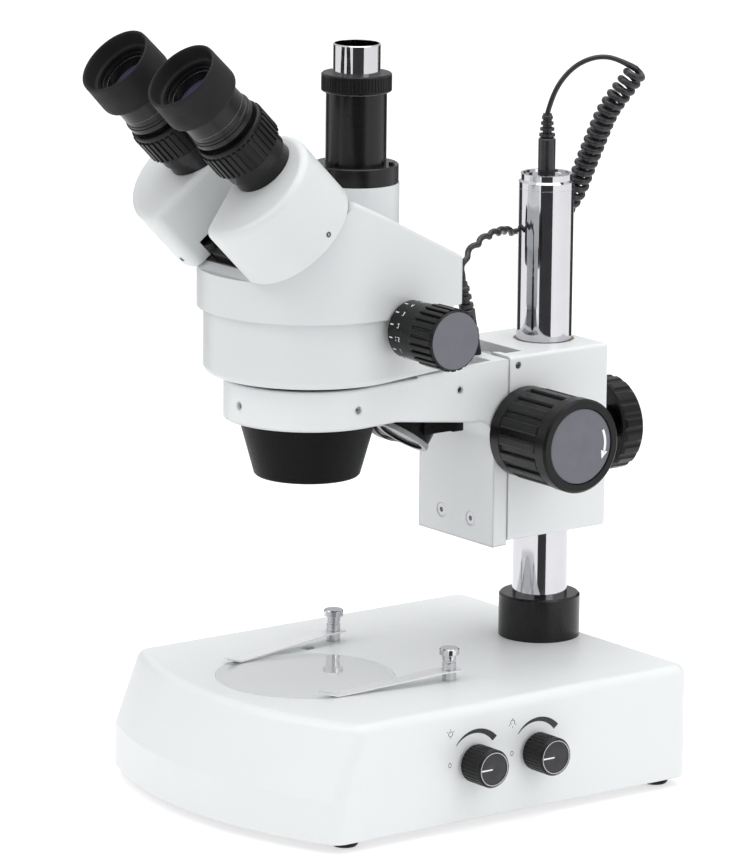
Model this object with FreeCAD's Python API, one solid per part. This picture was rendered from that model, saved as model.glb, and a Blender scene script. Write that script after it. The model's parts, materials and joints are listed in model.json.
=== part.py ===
import FreeCAD, Part
import math
import os
from FreeCAD import Placement, Rotation, Vector

# Trinocular stereo zoom microscope on a lit pillar stand, in millimetres.
# The origin is where the optical axis meets the table. +Z is up, the user sits at -Y,
# the pillar stands at +Y, and +X is the user's right, the side with the two dimmers.

# Base
BASE_HALF_WIDTH = 100.0
BASE_BACK_Y = 183.0
BASE_BOTTOM_Z = 5.0
BASE_TOP_Z = 66.0
BASE_FRONT_RADIUS = 216.0
BASE_FRONT_CENTRE_Y = 138.5
BASE_FRONT_LEAN = 14.0
BASE_LEAN_START_Z = 28.0
BASE_WALL = 3.0
BASE_ROOF = 4.0
FOOT_RADIUS = 7.0
FOOT_SPOTS = [(86.0, -38.0), (-86.0, -38.0), (86.0, 170.0), (-86.0, 170.0)]
PLATE_RADIUS = 47.5
PLATE_THICKNESS = 5.0
DIFFUSER_RADIUS = 42.95
POST_X = 50.8
POST_Y = 56.6
DIMMER_YS = {"front_dimmer_knob": 35.0, "rear_dimmer_knob": 76.0}
DIMMER_Z = 35.8
STAGE_SCREW_SPOT = (-46.0, 36.0)
CLIP_LENGTH = 79.0
CLIP_TOE_IN = 6.3
INLET_X = -62.0
INLET_Z = 34.0

# Pillar and focus block
PILLAR_Y = 158.0
PILLAR_RADIUS = 15.0
PILLAR_TOP_Z = 312.0
PILLAR_CAP_Z = 320.0
COLLAR_RADIUS = 22.0
COLLAR_TOP_Z = 89.6
BUSH_OUTER = 16.3
BLOCK_HALF_WIDTH = 31.0
BLOCK_FRONT_Y = 110.5
BLOCK_BACK_Y = 178.0
BLOCK_BOTTOM_Z = 130.0
BLOCK_TOP_Z = 230.0
CHANNEL_HALF_WIDTH = 21.0
CHANNEL_BACK_Y = 126.0
PINION_Y = 119.2
PINION_Z = 189.6
PINION_PITCH_RADIUS = 5.0
PINION_TEETH = 10
TOOTH_HEIGHT = 1.6
SHAFT_RADIUS = 3.9
FOCUS_KNOB_START = 33.0
FOCUS_KNOB_LENGTH = 48.0
CLAMP_Z = 178.0
CLAMP_KNOB_BACK_Y = 209.0

# Arm and carriage
CARRIAGE_FRONT_Y = 99.5
CARRIAGE_BACK_Y = 109.5
CARRIAGE_BOTTOM_Z = 128.0
ARM_TOP_Z = 229.0
RING_RADIUS = 44.2
RING_BORE = 38.05
RING_BOTTOM_Z = 207.0
RING_TOP_Z = 228.0
RING_STEP_Y = 42.0
SLIDE_BACK_Y = 115.0
RING_SCREW_ANGLES = (0, 180, 270)
ARM_SIDE_HOLE = (73.6, 217.4)
LAMP_PIVOT = Vector(0, 68.3, 196.0)
LAMP_LEAN = 34.8
SOCKET_MOUTH = Vector(8.5, 101.3, 236.4)
SOCKET_LEAN = 10.0

# Head
CONE_TOP_RADIUS = 36.3
CONE_BOTTOM_RADIUS = 28.0
CONE_TOP_Z = 206.5
CONE_BOTTOM_Z = 175.7
OBJECTIVE_X = 11.5
OBJECTIVE_RADIUS = 9.5
HEAD_BOTTOM_Z = 231.0
SEAM_Z = 266.0
HEAD_WALL = 3.0
UPPER_RADIUS = 58.4
LOWER_RADIUS = 54.9
UPPER_CORNER = (44.5, 70.0)
LOWER_CORNER = (41.0, 66.5)
RIM_Z = 287.0
RIM_Y = -54.0
RIDGE_Y = -12.0
RIDGE_Z = 329.0
ROOF_FALL = 0.4756
ZOOM_Y = 22.0
ZOOM_Z = 260.0
ZOOM_KNOB_START = 58.6
ZOOM_KNOB_END = 96.5
ZOOM_BAND_RADIUS = 15.3
ZOOM_RIB_RADIUS = 16.4
PHOTO_Y = 30.0
PHOTO_TUBE_BORE = 11.6

# Eyepiece pods, in their own frame: s runs up the eyepiece axis, q across it, both at 45 degrees
TUBE_ANGLE = 45.0
EYE_ORIGIN = Vector(0, -52.0, 348.0)
EYE_HALF_DISTANCE = 29.0
POD_TOP = -0.8
POD_BOTTOM = -40.0
POD_CENTRE = (29.0, -11.5)
POD_RADIUS = 34.0
POD_FLAT_DISTANCE = 15.0
POD_FLAT_ANGLE = 12.8
POD_PIVOT = (22.0, -24.0)
HEAD_SLOPE_S = -41.7

# Lamp cord
LEAD_DIAMETER = 2.6
TAIL_DIAMETER = 3.2
COIL_DIAMETER = 12.6
LEAD_ROUTE = [(0.0, 158.0, 352.0), (1.2, 159.6, 360.0), (4.4, 163.7, 370.5), (9.5, 170.4, 379.0),
              (16.0, 179.0, 383.2), (22.5, 187.5, 382.0), (28.6, 195.6, 376.6)]
COIL_ROUTE = [(28.5, 196.0, 375.6), (22.5, 190.5, 364.5), (14.5, 187.0, 352.5), (6.5, 186.0, 336.0),
              (-1.5, 184.8, 319.5), (-8.0, 183.5, 303.0), (-17.0, 178.5, 291.0)]
TAIL_ROUTE = [(-17.0, 178.5, 291.0), (-21.95, 175.75, 284.4), (-27.0, 168.0, 281.5),
              (-26.5, 157.0, 283.5), (-20.0, 146.5, 287.0), (-10.0, 134.5, 289.0), (-2.0, 120.0, 289.5),
              (4.0, 106.5, 286.5), (7.5, 97.2, 281.3), (8.5, 94.45, 275.0), (8.5, 95.6, 268.5)]
ARC_SHARE = 0.45

X_AXIS = Vector(1, 0, 0)
Y_AXIS = Vector(0, 1, 0)
Z_AXIS = Vector(0, 0, 1)


# Shape helpers

def box(x0, x1, y0, y1, z0, z1):
    return Part.makeBox(x1 - x0, y1 - y0, z1 - z0, Vector(x0, y0, z0))


def rod(start, axis, length, radius):
    return Part.makeCylinder(radius, length, Vector(*start), axis)


def upright(x, y, z0, z1, radius):
    return rod((x, y, z0), Z_AXIS, z1 - z0, radius)


def crosswise(x0, x1, y, z, radius):
    return rod((x0, y, z), X_AXIS, x1 - x0, radius)


def fuse(*shapes):
    whole = shapes[0]
    for shape in shapes[1:]:
        whole = whole.fuse(shape)
    return whole.removeSplitter()


def prism(points, direction):
    corners = [Vector(*point) for point in points]
    return Part.Face(Part.makePolygon(corners + corners[:1])).extrude(direction)


def turned(profile, centre=(0.0, 0.0)):
    """A solid of revolution about the vertical through centre, from (radius, z) points."""
    x, y = centre
    corners = [Vector(x + radius, y, z) for radius, z in profile]
    face = Part.Face(Part.makePolygon(corners + corners[:1]))
    return face.revolve(Vector(x, y, 0), Z_AXIS, 360)


def turned_on_x(profile, y, z, side=1):
    """A solid of revolution about the X direction through (y, z), from (x, radius) points."""
    corners = [Vector(side * x, y, z + radius) for x, radius in profile]
    face = Part.Face(Part.makePolygon(corners + corners[:1]))
    return face.revolve(Vector(0, y, z), X_AXIS, 360)


def round_edges(shape, radius, chosen):
    return shape.makeFillet(radius, [edge for edge in shape.Edges if chosen(edge)])


def is_upright(edge):
    if len(edge.Vertexes) != 2 or not isinstance(edge.Curve, Part.Line):
        return False
    return abs(edge.tangentAt(edge.FirstParameter).z) > 0.999


def tilted(shape):
    """Move a shape from the eyepiece frame (x, q, s) to the object's frame."""
    moved = shape.copy()
    moved.Placement = Placement(EYE_ORIGIN, Rotation(X_AXIS, TUBE_ANGLE)).multiply(moved.Placement)
    return moved


def mirrored(shape):
    return shape.mirror(Vector(0, 0, 0), X_AXIS)


def save(name, *shapes):
    solids = [solid for shape in shapes for solid in shape.Solids]
    whole = solids[0] if len(solids) == 1 else Part.makeCompound(solids)
    whole.exportStep(f"parts/{name}.step")


# Base

def base_form(inset, z0, z1):
    """The base's outer form, drawn in on every side by inset: a slab with a leaning, bowed front."""
    half = BASE_HALF_WIDTH - inset
    back = BASE_BACK_Y - inset
    radius = BASE_FRONT_RADIUS - inset
    slab = box(-half, half, -90, back, z0, z1)
    slab = round_edges(slab, 10.0 - inset, lambda edge: is_upright(edge) and edge.Vertexes[0].Y > 0)
    bow = turned([(0, z0), (radius, z0), (radius, BASE_LEAN_START_Z),
                  (radius - BASE_FRONT_LEAN, BASE_TOP_Z), (0, BASE_TOP_Z)], (0, BASE_FRONT_CENTRE_Y))
    return slab.common(bow)


def base_housing():
    shell = base_form(0.0, BASE_BOTTOM_Z, BASE_TOP_Z)
    shell = round_edges(shell, 9.0, lambda edge: abs(edge.CenterOfMass.x) > BASE_HALF_WIDTH - 1
                        and edge.CenterOfMass.y < 0 and edge.BoundBox.YLength < 25)
    shell = round_edges(shell, 6.0, lambda edge: edge.BoundBox.ZMin > BASE_TOP_Z - 0.01)
    shell = shell.cut(base_form(BASE_WALL, BASE_BOTTOM_Z, BASE_TOP_Z - BASE_ROOF))
    stage_seat = upright(0, 0, BASE_TOP_Z - 10, BASE_TOP_Z - BASE_ROOF, PLATE_RADIUS + 4)
    pillar_boss = upright(0, PILLAR_Y, 48, BASE_TOP_Z - BASE_ROOF, COLLAR_RADIUS)
    shell = fuse(shell, stage_seat, pillar_boss)
    shell = shell.cut(upright(0, 0, BASE_TOP_Z - PLATE_THICKNESS, BASE_TOP_Z, PLATE_RADIUS + 0.1))
    shell = shell.cut(upright(0, 0, 57.5, BASE_TOP_Z, DIFFUSER_RADIUS + 0.05))
    shell = shell.cut(upright(0, 0, 50, 60, 40.0))
    shell = shell.cut(upright(0, PILLAR_Y, 40, 70, PILLAR_RADIUS + 0.02))
    for y in DIMMER_YS.values():
        shell = shell.cut(crosswise(90, 110, y, DIMMER_Z, 3.6))
    shell = shell.cut(box(INLET_X - 14, INLET_X + 14, 175, 190, INLET_Z - 10.5, INLET_Z + 10.5))
    for side in (-1, 1):
        shell = shell.cut(upright(side * POST_X, POST_Y, 50, 70, 2.52))
    return shell.cut(upright(*STAGE_SCREW_SPOT, 58, 70, 2.02)).cut(
        upright(*STAGE_SCREW_SPOT, 63.5, 70, 3.6))


def base_bottom_plate():
    plate = base_form(BASE_WALL + 0.2, BASE_BOTTOM_Z, BASE_BOTTOM_Z + 2)
    for x, y in FOOT_SPOTS:
        plate = plate.cut(upright(x, y, 0, 10, 2.02))
    return plate


def rubber_foot(x, y):
    foot = turned([(2.6, 0), (FOOT_RADIUS - 1, 0), (FOOT_RADIUS, 1), (FOOT_RADIUS - 0.6, 5), (2.1, 5),
                   (2.1, 2.5), (3.9, 2.5), (3.9, 0.6), (2.6, 0.6)], (x, y))
    return foot.cut(upright(x, y, -1, 2.5, 3.9))


def cap_screw(x, y, z_head, length, up=1):
    """An M4 socket screw whose head starts at z_head and whose shank runs the other way."""
    head = upright(0, 0, 0, 1.8, 3.5)
    shank = upright(0, 0, -length, 0, 1.95)
    socket = prism([(1.5 * math.cos(math.radians(a)), 1.5 * math.sin(math.radians(a)), 0.7)
                    for a in range(0, 360, 60)], Vector(0, 0, 2))
    screw = fuse(head, shank).cut(socket)
    if up < 0:
        screw.rotate(Vector(0, 0, 0), X_AXIS, 180)
    screw.translate(Vector(x, y, z_head))
    return screw


def base_screws():
    """Four under the feet, and the one beside the stage that locks the plate."""
    lower = [cap_screw(x, y, 2.45, 8, up=-1) for x, y in FOOT_SPOTS]
    return lower + [cap_screw(*STAGE_SCREW_SPOT, 63.5, 5)]


def lower_lamp():
    """A halogen reflector lamp on its holder, under the diffuser."""
    return turned([(0, 7), (12, 7), (12, 10), (7, 12), (7, 20), (24, 42), (24, 44), (22.6, 44),
                   (5.5, 22), (0, 22)])


def mains_inlet():
    """A three-pin appliance inlet: flange on the back wall, shroud inside, three flat pins."""
    flange = round_edges(box(INLET_X - 19, INLET_X + 19, 183, 185.5, INLET_Z - 12, INLET_Z + 12), 4,
                         lambda edge: abs(edge.tangentAt(edge.FirstParameter).y) > 0.99)
    body = box(INLET_X - 13.8, INLET_X + 13.8, 162, 183, INLET_Z - 10.3, INLET_Z + 10.3)
    well = box(INLET_X - 11.5, INLET_X + 11.5, 168, 190, INLET_Z - 8, INLET_Z + 8)
    inlet = fuse(flange, body).cut(well)
    for x, z in ((-7, -3), (0, 0), (7, -3)):
        inlet = fuse(inlet, box(INLET_X + x - 1, INLET_X + x + 1, 168, 181,
                                INLET_Z + z - 3, INLET_Z + z + 1))
    return inlet


def dimmer_pot(y):
    body = crosswise(84, 96.9, y, DIMMER_Z, 8)
    thread = crosswise(96.9, 101, y, DIMMER_Z, 3.5)
    return fuse(body, thread, crosswise(101, 112, y, DIMMER_Z, 3.0))


def dimmer_knob(y):
    """A fluted knob with a spun face and a narrow rim, bored for the potentiometer's shaft."""
    knob = turned_on_x([(101.2, 0), (101.2, 9.0), (102.4, 9.0), (102.4, 10.2), (116.4, 10.2),
                        (117.6, 9.4), (117.6, 8.6), (117.2, 8.4), (117.2, 0)], y, DIMMER_Z)
    knob = knob.cut(crosswise(100, 112.2, y, DIMMER_Z, 3.05))
    for turn in range(30):
        angle = math.radians(12 * turn)
        groove = crosswise(103.4, 115.4, y + 10.4 * math.cos(angle), DIMMER_Z + 10.4 * math.sin(angle),
                           0.62)
        knob = knob.cut(groove)
    return knob


def clip_post(side):
    """A turned post: stem in the base, shoulder, narrow neck for the clip, body and flat head."""
    return turned([(0, 57), (2.5, 57), (2.5, 66), (3.7, 66), (3.7, 71), (2.0, 71), (2.0, 72),
                   (3.7, 72), (3.7, 75.4), (3.2, 75.8), (3.2, 76.6), (3.7, 77), (3.7, 79.8), (5.3, 80.2),
                   (5.3, 83.0), (4.8, 83.6), (0, 83.6)], (side * POST_X, POST_Y))


def stage_clip(side):
    """A sprung strip, flat round the post, dropping to the plate and turned up at its tip."""
    top = [(-6, 71.9), (8, 71.9), (66, 67.2), (70, 67.2), (CLIP_LENGTH, 69.8)]
    low = [(length, z - 0.8) for length, z in reversed(top)]
    strip = prism([(-6, -length, z) for length, z in top + low], Vector(12, 0, 0))
    plan = prism([(-5.2, 6, 60), (5.2, 6, 60), (5.2, -8, 60), (2.9, -CLIP_LENGTH, 60),
                  (-2.9, -CLIP_LENGTH, 60), (-5.2, -8, 60)], Vector(0, 0, 20))
    plan = round_edges(plan, 2.5, lambda edge: is_upright(edge) and abs(edge.Vertexes[0].Y + 8) > 1)
    strip = strip.common(plan).cut(upright(0, 0, 60, 90, 2.05))
    strip.rotate(Vector(0, 0, 0), Z_AXIS, -side * CLIP_TOE_IN)
    strip.translate(Vector(side * POST_X, POST_Y, 0))
    return strip


def make_base():
    save("base_housing", base_housing())
    save("base_bottom_plate", base_bottom_plate())
    save("rubber_feet", *[rubber_foot(x, y) for x, y in FOOT_SPOTS])
    save("base_screws", *base_screws())
    save("stage_plate", upright(0, 0, BASE_TOP_Z - PLATE_THICKNESS, BASE_TOP_Z, PLATE_RADIUS))
    save("lower_diffuser", upright(0, 0, 57.5, 60.5, DIFFUSER_RADIUS))
    save("lower_lamp", lower_lamp())
    save("mains_inlet", mains_inlet())
    save("dimmer_pots", *[dimmer_pot(y) for y in DIMMER_YS.values()])
    save("clip_posts", clip_post(1), clip_post(-1))
    save("right_stage_clip", stage_clip(1))
    save("left_stage_clip", stage_clip(-1))
    for name, y in DIMMER_YS.items():
        save(name, dimmer_knob(y))


# Pillar

def pillar():
    tube = upright(0, PILLAR_Y, 7, PILLAR_TOP_Z, PILLAR_RADIUS)
    return tube.cut(upright(0, PILLAR_Y, 0, 400, 12.0))


def pillar_collar():
    collar = turned([(PILLAR_RADIUS + 0.02, BASE_TOP_Z), (COLLAR_RADIUS, BASE_TOP_Z),
                     (COLLAR_RADIUS, COLLAR_TOP_Z - 1), (COLLAR_RADIUS - 1, COLLAR_TOP_Z),
                     (PILLAR_RADIUS + 0.02, COLLAR_TOP_Z)], (0, PILLAR_Y))
    return collar.cut(rod((0, PILLAR_Y + 10, 78), Y_AXIS, 20, 2.5))


def pillar_cap():
    """The jack that closes the pillar: spigot, chamfered shoulder, raised lip and the jack's hole."""
    return turned([(2.55, 305), (11.95, 305), (11.95, PILLAR_TOP_Z), (PILLAR_RADIUS, PILLAR_TOP_Z),
                   (PILLAR_RADIUS, 315.6), (13.9, 316.7), (13.9, PILLAR_CAP_Z), (12.4, PILLAR_CAP_Z),
                   (12.0, 318.4), (8.0, 318.4), (7.6, 319.2), (2.55, 319.2)], (0, PILLAR_Y))


def pillar_bush():
    sleeve = upright(0, PILLAR_Y, BLOCK_BOTTOM_Z + 1, BLOCK_TOP_Z - 1, BUSH_OUTER)
    return sleeve.cut(upright(0, PILLAR_Y, 0, 400, PILLAR_RADIUS + 0.05))


def make_pillar():
    save("pillar", pillar())
    save("pillar_collar", pillar_collar())
    save("pillar_cap", pillar_cap())
    save("pillar_bush", pillar_bush())


# Focus block

def dovetail_way(side):
    """The slanted rail on each side of the block's channel that the slide runs behind."""
    points = [(side * 21.5, 111.0), (side * 14.0, 111.0), (side * 16.3, 114.9), (side * 21.5, 114.9)]
    return prism([(x, y, BLOCK_BOTTOM_Z) for x, y in points], Vector(0, 0, BLOCK_TOP_Z - BLOCK_BOTTOM_Z))


def focus_block():
    block = box(-BLOCK_HALF_WIDTH, BLOCK_HALF_WIDTH, BLOCK_FRONT_Y, BLOCK_BACK_Y,
                BLOCK_BOTTOM_Z, BLOCK_TOP_Z)
    block = round_edges(block, 2.0, lambda edge: edge.BoundBox.YMin > BLOCK_FRONT_Y + 1 or
                        edge.CenterOfMass.y > BLOCK_FRONT_Y + 1 and abs(edge.CenterOfMass.x) > 30)
    boss = rod((0, BLOCK_BACK_Y - 1, CLAMP_Z), Y_AXIS, 9, 11)
    block = fuse(block, boss)
    block = block.cut(box(-CHANNEL_HALF_WIDTH, CHANNEL_HALF_WIDTH, 100, CHANNEL_BACK_Y, 100, 250))
    block = fuse(block, dovetail_way(1), dovetail_way(-1))
    block = block.cut(upright(0, PILLAR_Y, 100, 260, BUSH_OUTER + 0.05))
    block = block.cut(crosswise(-40, 40, PINION_Y, PINION_Z, SHAFT_RADIUS + 0.05))
    block = block.cut(rod((0, PILLAR_Y + 12, CLAMP_Z), Y_AXIS, 20, 4.05))
    side_hole = crosswise(24, 40, 116.0, BLOCK_TOP_Z - 5, 1.9)
    return block.cut(fuse(side_hole, mirrored(side_hole)))


def pinion_shaft():
    """The focus shaft with its toothed middle; one tooth points straight at the rack."""
    shaft = crosswise(-78, 78, PINION_Y, PINION_Z, SHAFT_RADIUS)
    root = PINION_PITCH_RADIUS - TOOTH_HEIGHT / 2
    tip = PINION_PITCH_RADIUS + TOOTH_HEIGHT / 2
    shaft = fuse(shaft, crosswise(-3.8, 3.8, PINION_Y, PINION_Z, root))
    tooth = prism([(-3.8, PINION_Y - root + 0.3, PINION_Z - 0.8), (-3.8, PINION_Y - tip, PINION_Z - 0.3),
                   (-3.8, PINION_Y - tip, PINION_Z + 0.3), (-3.8, PINION_Y - root + 0.3, PINION_Z + 0.8)],
                  Vector(7.6, 0, 0))
    for turn in range(PINION_TEETH):
        copy = tooth.copy()
        copy.rotate(Vector(0, PINION_Y, PINION_Z), X_AXIS, 360 * turn / PINION_TEETH)
        shaft = shaft.fuse(copy)
    return shaft.removeSplitter()


def focus_knob(side):
    """Flange at the block, a waist of raised pads, and a smooth rim round a flat recessed face."""
    start = FOCUS_KNOB_START
    end = start + FOCUS_KNOB_LENGTH
    body = turned_on_x([(start, 0), (start, 23.0), (start + 1, 24.4), (start + 8, 24.4), (start + 9, 23.2),
                        (end - 10, 23.2), (end - 8, 25.2), (end - 1.2, 25.2), (end, 24.0), (end, 20.6),
                        (end - 1.0, 20.2), (end - 1.0, 0)], PINION_Y, PINION_Z, side)
    pad = box(start + 8.5, end - 9.0, -2.9, 2.9, 22.0, 24.7)
    pad = round_edges(pad, 1.2, lambda edge: edge.CenterOfMass.z > 24.6)
    if side < 0:
        pad = mirrored(pad)
    pad.translate(Vector(0, PINION_Y, PINION_Z))
    for turn in range(16):
        copy = pad.copy()
        copy.rotate(Vector(0, PINION_Y, PINION_Z), X_AXIS, 22.5 * turn)
        body = body.fuse(copy)
    bore = crosswise(-78.1, 78.1, PINION_Y, PINION_Z, SHAFT_RADIUS + (0.05 if side > 0 else 0.0))
    return body.removeSplitter().cut(bore)


def clamp_knob():
    """A hollow scalloped knob whose open side faces the block, with its screw."""
    back = CLAMP_KNOB_BACK_Y
    profile = [(0, 174.6), (4.0, 174.6), (4.0, 188.5), (9.0, 188.5), (9.0, back - 3.5), (22.4, back - 3.5),
               (22.4, back - 13), (24.6, back - 13), (25.5, back - 11.5), (25.5, back - 1.5),
               (24.0, back), (0, back)]
    corners = [Vector(radius, y, CLAMP_Z) for radius, y in profile]
    knob = Part.Face(Part.makePolygon(corners + corners[:1])).revolve(Vector(0, 0, CLAMP_Z), Y_AXIS, 360)
    for turn in range(20):
        angle = math.radians(18 * turn)
        scallop = rod((27.6 * math.cos(angle), back - 14, CLAMP_Z + 27.6 * math.sin(angle)),
                      Y_AXIS, 20, 3.1)
        knob = knob.cut(scallop)
    return knob


def make_focus_block():
    save("focus_block", focus_block())
    save("pinion_shaft", pinion_shaft())
    save("right_focus_knob", focus_knob(1))
    save("left_focus_knob", focus_knob(-1))
    save("clamp_knob", clamp_knob())


# Arm and carriage

def arm_plan(inset):
    """The ring's circle joined to the carriage's corners by tangent sides, at z = 0."""
    corner = Vector(BLOCK_HALF_WIDTH - inset, CARRIAGE_BACK_Y, 0)
    radius = RING_RADIUS - inset
    angle = math.atan2(corner.y, corner.x) - math.acos(radius / corner.Length)
    touch = Vector(radius * math.cos(angle), radius * math.sin(angle), 0)
    arc = Part.Arc(Vector(-touch.x, touch.y, 0), Vector(0, -radius, 0), touch).toShape()
    sides = Part.makePolygon([touch, corner, Vector(-corner.x, corner.y, 0), Vector(-touch.x, touch.y, 0)])
    return Part.Face(Part.Wire([arc] + sides.Edges))


def carriage_profile():
    """The side view of the arm and carriage: ring, slanted underside, rounded throat, front face."""
    front = CARRIAGE_FRONT_Y
    points = [(-50, RING_BOTTOM_Z), (27, RING_BOTTOM_Z), (85, 198.4)]
    throat = Part.Arc(Vector(0, 85, 198.4), Vector(0, front - 4.6, 195.2), Vector(0, front, 187.0))
    lower = [(front, 187.0), (front, CARRIAGE_BOTTOM_Z), (CARRIAGE_BACK_Y, CARRIAGE_BOTTOM_Z),
             (CARRIAGE_BACK_Y, ARM_TOP_Z), (RING_STEP_Y, ARM_TOP_Z), (RING_STEP_Y, RING_TOP_Z), (-50, RING_TOP_Z),
             (-50, RING_BOTTOM_Z)]
    edges = Part.makePolygon([Vector(0, *point) for point in points]).Edges
    edges = edges + [throat.toShape()] + Part.makePolygon([Vector(0, *point) for point in lower]).Edges
    face = Part.Face(Part.Wire(Part.__sortEdges__(edges)))
    face.translate(Vector(-60, 0, 0))
    return face.extrude(Vector(120, 0, 0))


def arm():
    plan = arm_plan(0.0).extrude(Vector(0, 0, 300))
    casting = plan.common(carriage_profile())
    pocket = arm_plan(4.5).extrude(Vector(0, 0, 40))
    pocket.translate(Vector(0, 0, 205))
    casting = casting.cut(pocket.common(box(-40, 40, 49, CARRIAGE_FRONT_Y, 205, 240)))
    casting = casting.cut(box(-19, 19, 49, 80, 190, 240))
    casting = casting.cut(upright(0, 0, 190, 240, RING_BORE))
    for angle in RING_SCREW_ANGLES:
        turn = Vector(math.cos(math.radians(angle)), math.sin(math.radians(angle)), 0)
        casting = casting.cut(Part.makeCylinder(2.02, 12, turn * 36 + Vector(0, 0, 217), turn))
    for side in (-1, 1):
        casting = casting.cut(rod((side * 12.6, 98, 140.5), Y_AXIS, 8, 2.0))
        casting = casting.cut(rod((side * 12.6, 98, 140.5), Y_AXIS, 3.5, 3.55))
        side_hole = crosswise(28, 40, *ARM_SIDE_HOLE, 1.9)
        casting = casting.cut(side_hole if side > 0 else mirrored(side_hole))
    return casting


def dovetail_slide():
    points = [(-13.9, 109.5), (13.9, 109.5), (13.9, 111.0), (16.1, SLIDE_BACK_Y), (-16.1, SLIDE_BACK_Y),
              (-13.9, 111.0)]
    slide = prism([(x, y, CARRIAGE_BOTTOM_Z + 2) for x, y in points], Vector(0, 0, 98.5))
    return slide.cut(box(-4.05, 4.05, 110.5, 120, 100, 250))


def focus_rack():
    """A toothed strip in the slide's groove; a gap faces the pinion's tooth."""
    pitch = math.pi * 2 * PINION_PITCH_RADIUS / PINION_TEETH
    line = PINION_Y - PINION_PITCH_RADIUS
    root = line - TOOTH_HEIGHT / 2 - 0.1
    tip = line + TOOTH_HEIGHT / 2 - 0.1
    rack = box(-4.0, 4.0, 110.5, root, CARRIAGE_BOTTOM_Z + 3, 226)
    for place in range(-18, 12):
        z = PINION_Z + (place + 0.5) * pitch
        tooth = prism([(-4, root - 0.3, z - 0.8), (-4, tip, z - 0.3), (-4, tip, z + 0.3),
                       (-4, root - 0.3, z + 0.8)], Vector(8, 0, 0))
        rack = rack.fuse(tooth)
    return rack.removeSplitter()


def arm_screws():
    """Two socket screws in the carriage's face and three pointed ones in the ring."""
    screws = []
    for side in (-1, 1):
        screw = cap_screw(0, 0, 0, 4.5)
        screw.rotate(Vector(0, 0, 0), X_AXIS, 90)
        screw.translate(Vector(side * 12.6, 101.5, 140.5))
        screws.append(screw)
    for angle in RING_SCREW_ANGLES:
        grub = crosswise(38.2, 42.6, 0, 217, 1.98)
        socket = crosswise(41.2, 43, 0, 217, 1.0)
        grub = grub.cut(socket)
        grub.rotate(Vector(0, 0, 0), Z_AXIS, angle)
        screws.append(grub)
    return screws


def lamp_frame(shape):
    """Turn a shape made along +Z, lamp pivot at its origin, to the lamp's lean."""
    moved = shape.copy()
    moved.rotate(Vector(0, 0, 0), X_AXIS, -LAMP_LEAN)
    moved.translate(LAMP_PIVOT)
    return moved


def lamp_housing():
    """A knurled cup, open downwards, on two trunnions."""
    cup = turned([(12.4, -11), (15.0, -11), (15.0, -8.4), (14.0, -8.0), (14.0, 2.5), (9.5, 5.0), (0, 5.0),
                  (0, 3.2), (8.6, 3.2), (12.4, 1.0)])
    pins = fuse(crosswise(13, 17.4, 0, 0, 2.0), crosswise(-17.4, -13, 0, 0, 2.0))
    cup = fuse(cup, pins).cut(turned([(0, -12), (12.4, -12), (12.4, 1.0), (8.6, 3.2), (0, 3.2)]))
    return lamp_frame(cup)


def lamp_lens():
    bulb = turned([(0, -9.8), (12.35, -9.8), (12.35, -8.2), (0, -8.2)])
    return lamp_frame(bulb)


def lamp_bracket():
    """A block fitted to the arm's underside, with an ear each side of the lamp."""
    bracket = box(-17.6, 17.6, 83.2, 90, 190.5, 201.0)
    ear = box(15.6, 17.6, 64, 84, 191.2, 198.0)
    bracket = fuse(bracket, ear, mirrored(ear)).cut(arm())
    return bracket.cut(crosswise(-20, 20, LAMP_PIVOT.y, LAMP_PIVOT.z, 2.05))


def socket_frame(shape):
    """Lean a shape made along +Z, socket mouth at its origin, forward and up out of the arm."""
    moved = shape.copy()
    moved.rotate(Vector(0, 0, 0), X_AXIS, SOCKET_LEAN)
    moved.translate(SOCKET_MOUTH)
    return moved


def lamp_socket():
    """The leaning jack on top of the carriage that the cord plugs into."""
    jack = socket_frame(upright(0, 0, -12, 0, 4.8).cut(upright(0, 0, -5, 1, 2.55)))
    return jack.common(box(0, 40, 60, 120, ARM_TOP_Z, 250))


def make_arm():
    save("arm", arm())
    save("dovetail_slide", dovetail_slide())
    save("focus_rack", focus_rack())
    save("arm_screws", *arm_screws())
    save("lamp_bracket", lamp_bracket())
    save("lamp_housing", lamp_housing())
    save("lamp_lens", lamp_lens())
    save("lamp_socket", lamp_socket())


# Head

def head_plan(radius, corner, z0, z1, back_rounding):
    """The head's rounded plan, tapering from its circular front to its flat back."""
    point = Vector(*corner, 0)
    angle = math.atan2(point.y, point.x) - math.acos(radius / point.Length)
    touch = Vector(radius * math.cos(angle), radius * math.sin(angle), 0)
    arc = Part.Arc(Vector(-touch.x, touch.y, 0), Vector(0, -radius, 0), touch).toShape()
    sides = Part.makePolygon([touch, point, Vector(-point.x, point.y, 0), Vector(-touch.x, touch.y, 0)])
    body = Part.Face(Part.Wire([arc] + sides.Edges)).extrude(Vector(0, 0, z1 - z0))
    body.translate(Vector(0, 0, z0))
    return round_edges(body, back_rounding,
                       lambda edge: is_upright(edge) and edge.Vertexes[0].Y > point.y - 0.1)


def head_lower_form(inset, z0):
    corner = (LOWER_CORNER[0] - inset, LOWER_CORNER[1] - inset)
    return head_plan(LOWER_RADIUS - inset, corner, z0, SEAM_Z, 9.0 - inset)


def head_lower_cover():
    cover = head_lower_form(0.0, HEAD_BOTTOM_Z)
    cover = round_edges(cover, 4.0, lambda edge: edge.BoundBox.ZMax < HEAD_BOTTOM_Z + 0.01)
    cover = cover.cut(head_lower_form(HEAD_WALL, HEAD_BOTTOM_Z + 3))
    cover = cover.cut(upright(0, 0, 220, 240, 33.0))
    return cover.cut(crosswise(-80, 80, ZOOM_Y, ZOOM_Z, 3.1))


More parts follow.
